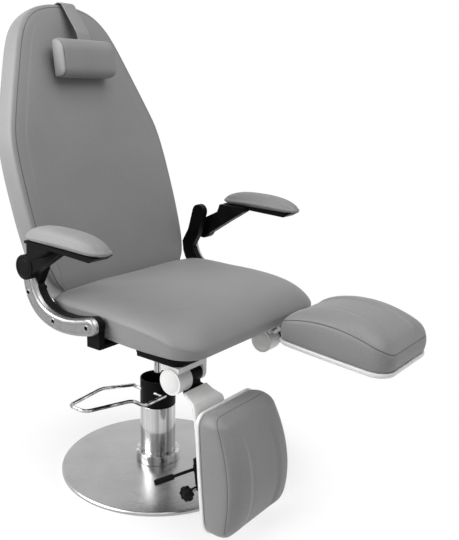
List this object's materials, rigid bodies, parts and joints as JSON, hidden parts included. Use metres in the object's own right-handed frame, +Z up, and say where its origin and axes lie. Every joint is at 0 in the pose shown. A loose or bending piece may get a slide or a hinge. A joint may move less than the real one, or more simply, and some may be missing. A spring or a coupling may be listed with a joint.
{
  "type": "pedicure chair",
  "caption": "Upholstered treatment chair on a round steel foot with a pump column, tilting backrest with head pillow, flip-up armrests and separately adjustable leg rests.",
  "frame": {"origin": "centre of the foot on the floor", "axes": "+Z up, the sitter faces -Y, the sitter's left is +X"},
  "size_m": [0.878, 1.1673, 1.3568],
  "materials": {
    "grey_leatherette": "soft satin",
    "black_plastic": "satin",
    "black_steel": "satin",
    "chrome": "polished",
    "brushed_steel": "brushed",
    "cast_aluminium": "satin",
    "white_enamel": "gloss",
    "cast_iron": "rough",
    "board": "painted",
    "strap_webbing": "woven"
  },
  "bodies": {
    "base": {"base_plate": "cast_iron", "base_cover": "brushed_steel", "column_collar": "chrome", "column_tube": "chrome", "column_sleeve": "black_plastic", "pump_cylinder": "black_steel"},
    "pedal": {"pedal_bar": "chrome", "pedal_axle": "chrome"},
    "lift": {"lift_rod": "chrome", "swivel_bearing": "black_steel"},
    "seat": {"seat_hub_plate": "black_steel", "seat_frame": "black_steel", "seat_board": "board", "seat_cushion": "grey_leatherette", "leg_block_left": "black_steel", "leg_block_right": "black_steel", "leg_spread_pin_left": "brushed_steel", "leg_spread_pin_right": "brushed_steel", "arm_bracket_left": "black_steel", "arm_bracket_right": "black_steel", "bracket_cover_left": "cast_aluminium", "bracket_cover_right": "cast_aluminium", "arm_pivot_bolt_left": "brushed_steel", "arm_pivot_bolt_right": "brushed_steel", "backrest_hinge_pin_left": "brushed_steel", "backrest_hinge_pin_right": "brushed_steel"},
    "backrest": {"backrest_cushion": "grey_leatherette", "backrest_board": "board", "backrest_hinge_arm_left": "black_steel", "backrest_hinge_arm_right": "black_steel", "head_strap": "strap_webbing"},
    "head": {"head_pillow": "grey_leatherette"},
    "arm_left": {"arm_left": "black_plastic", "arm_pad_left": "grey_leatherette"},
    "leg_spread_left": {"leg_yoke_left": "white_enamel", "leg_hinge_pin_left": "brushed_steel"},
    "leg_tilt_left": {"leg_hub_left": "black_steel", "leg_neck_left": "white_enamel", "leg_rail_left": "black_steel"},
    "leg_slide_left": {"leg_guide_left": "black_steel", "leg_shell_left": "white_enamel", "leg_pad_left": "grey_leatherette"},
    "lever_left": {"leg_lever_left": "black_steel", "leg_lever_grip_left": "black_plastic"},
    "knob_left": {"leg_knob_left": "black_plastic", "leg_knob_stem_left": "chrome"},
    "arm_right": {"arm_right": "black_plastic", "arm_pad_right": "grey_leatherette"},
    "leg_spread_right": {"leg_yoke_right": "white_enamel", "leg_hinge_pin_right": "brushed_steel"},
    "leg_tilt_right": {"leg_hub_right": "black_steel", "leg_neck_right": "white_enamel", "leg_rail_right": "black_steel"},
    "leg_slide_right": {"leg_guide_right": "black_steel", "leg_shell_right": "white_enamel", "leg_pad_right": "grey_leatherette"},
    "lever_right": {"leg_lever_right": "black_steel", "leg_lever_grip_right": "black_plastic"},
    "knob_right": {"leg_knob_right": "black_plastic", "leg_knob_stem_right": "chrome"}
  },
  "joints": [
    {"name": "pedal_pump", "type": "hinge", "parent": "base", "child": "pedal", "pos_m": [-0.042, 0, 0.249], "axis": [0, -1, 0], "range_deg": [0, 18], "stiffness_Nm_per_rad": 8, "springref_deg": -28.65},
    {"name": "seat_lift", "type": "slide", "parent": "base", "child": "lift", "axis": [0, 0, 1], "range_m": [0, 0.15]},
    {"name": "seat_swivel", "type": "hinge", "parent": "lift", "child": "seat", "pos_m": [0, 0, 0.46], "axis": [0, 0, 1], "continuous": true},
    {"name": "backrest_recline", "type": "hinge", "parent": "seat", "child": "backrest", "pos_m": [0, 0.14, 0.53], "axis": [-1, 0, 0], "range_deg": [0, 50]},
    {"name": "head_pillow_height", "type": "slide", "parent": "backrest", "child": "head", "axis": [0, 0.3173, 0.9483], "range_m": [-0.045, 0.045]},
    {"name": "armrest_flip_left", "type": "hinge", "parent": "seat", "child": "arm_left", "pos_m": [0.363, 0.118, 0.667], "axis": [-1, 0, 0], "range_deg": [0, 95]},
    {"name": "leg_spread_left", "type": "hinge", "parent": "seat", "child": "leg_spread_left", "pos_m": [0.197, -0.27, 0.419], "axis": [0, 0, 1], "range_deg": [0, 18]},
    {"name": "leg_tilt_left", "type": "hinge", "parent": "leg_spread_left", "child": "leg_tilt_left", "pos_m": [0.197, -0.27, 0.419], "axis": [-1, 0, 0], "range_deg": [-79.1, 0]},
    {"name": "leg_push_out_left", "type": "slide", "parent": "leg_tilt_left", "child": "leg_slide_left", "axis": [0, -0.9978, -0.0663], "range_m": [-0.0501, 0]},
    {"name": "release_lever_left", "type": "hinge", "parent": "leg_slide_left", "child": "lever_left", "pos_m": [0.2283, -0.54683, 0.43739], "axis": [0, -0.9978, -0.0663], "range_deg": [0, 16], "stiffness_Nm_per_rad": 1.5, "springref_deg": -22.92},
    {"name": "clamp_knob_left", "type": "hinge", "parent": "leg_slide_left", "child": "knob_left", "pos_m": [0.197, -0.59387, 0.43644], "axis": [1, 0, 0], "continuous": true},
    {"name": "armrest_flip_right", "type": "hinge", "parent": "seat", "child": "arm_right", "pos_m": [-0.363, 0.118, 0.667], "axis": [-1, 0, 0], "range_deg": [0, 95]},
    {"name": "leg_spread_right", "type": "hinge", "parent": "seat", "child": "leg_spread_right", "pos_m": [-0.197, -0.27, 0.419], "axis": [0, 0, -1], "range_deg": [0, 18]},
    {"name": "leg_tilt_right", "type": "hinge", "parent": "leg_spread_right", "child": "leg_tilt_right", "pos_m": [-0.197, -0.27, 0.419], "axis": [-1, 0, 0], "range_deg": [0, 79.1]},
    {"name": "leg_push_out_right", "type": "slide", "parent": "leg_tilt_right", "child": "leg_slide_right", "axis": [0, -0.1236, -0.9923], "range_m": [0, 0.0501]},
    {"name": "release_lever_right", "type": "hinge", "parent": "leg_slide_right", "child": "lever_right", "pos_m": [-0.2283, -0.33423, 0.20026], "axis": [0, 0.1236, 0.9923], "range_deg": [0, 16], "stiffness_Nm_per_rad": 1.5, "springref_deg": -22.92},
    {"name": "clamp_knob_right", "type": "hinge", "parent": "leg_slide_right", "child": "knob_right", "pos_m": [-0.197, -0.34219, 0.15389], "axis": [-1, 0, 0], "continuous": true}
  ],
  "couplings": [
    {"joint": "leg_push_out_left", "follows": "leg_tilt_left", "m_per_rad": 0.036217},
    {"joint": "leg_push_out_right", "follows": "leg_tilt_right", "m_per_rad": 0.036217}
  ]
}
